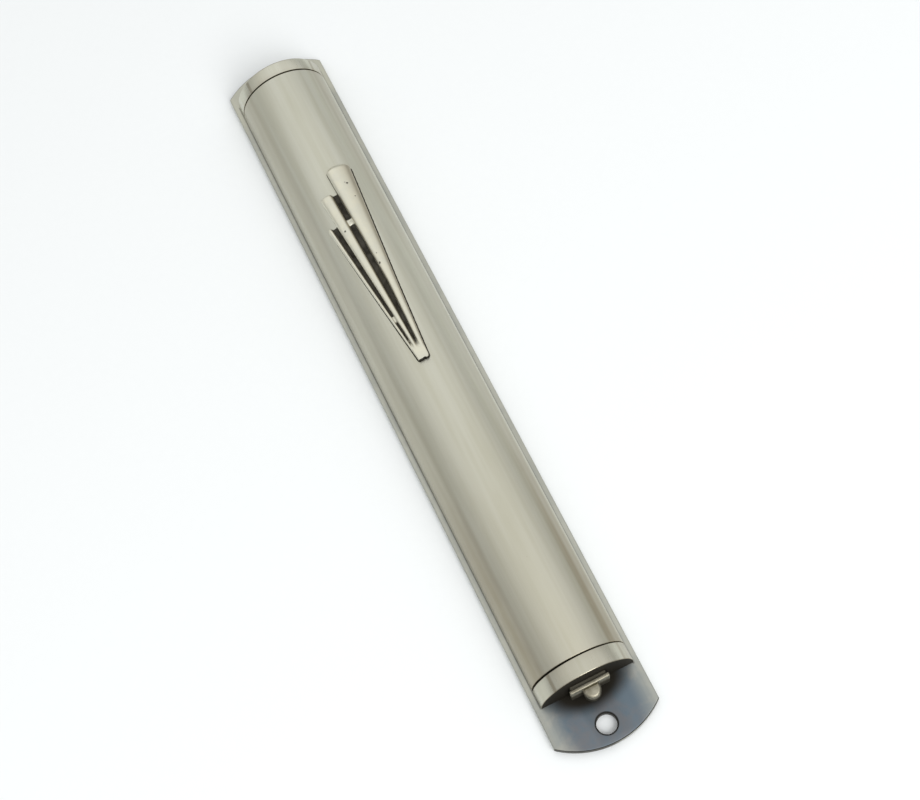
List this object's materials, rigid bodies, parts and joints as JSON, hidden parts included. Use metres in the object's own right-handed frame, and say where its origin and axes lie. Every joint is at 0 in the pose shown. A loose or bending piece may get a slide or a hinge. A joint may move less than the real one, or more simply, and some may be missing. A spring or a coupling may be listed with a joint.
{
  "type": "mezuzah case",
  "caption": "Half-round metal mezuzah case on a flat back plate, with a pull-out bottom cap, a relief ornament and a rolled parchment inside.",
  "frame": {"origin": "under the middle of the back plate, on the plane that the plate's back rests on", "axes": "+Z out of the plate's front through the shell, +Y along the case towards its top (fixed) cap, +X across it; the plate lies on its back"},
  "size_m": [0.022, 0.1688, 0.0134],
  "materials": {
    "plate_metal": "satin nickel plate, slightly darkened, fine lengthwise grain",
    "shell_metal": "warm antique nickel, brushed lengthwise",
    "cap_metal": "antique nickel with brown toning in its reflections",
    "pull_metal": "cast antique nickel, satin",
    "emblem_metal": "cast white metal, polished high points, blackened recesses, small pits",
    "rivet_metal": "plain steel, filed flush",
    "parchment": "cream animal skin, faintly mottled, rolled",
    "wrapper": "thin waxed white wrapper"
  },
  "bodies": {
    "case": {"back_plate": "plate_metal", "body_shell": "shell_metal", "shell_rivets": "rivet_metal", "top_cap": "cap_metal", "emblem": "emblem_metal"},
    "stopper": {"bottom_cap": "cap_metal", "pull_finial": "pull_metal"},
    "roll": {"scroll": "parchment", "scroll_wrap": "wrapper"}
  },
  "joints": [
    {"name": "cap_pull", "type": "slide", "parent": "case", "child": "stopper", "axis": [0, -1, 0], "range_m": [0, 0.13]},
    {"name": "roll_draw", "type": "slide", "parent": "case", "child": "roll", "axis": [0, -1, 0], "range_m": [0, 0.117]}
  ],
  "couplings": [
    {"joint": "roll_draw", "follows": "cap_pull", "ratio": 0.9}
  ]
}
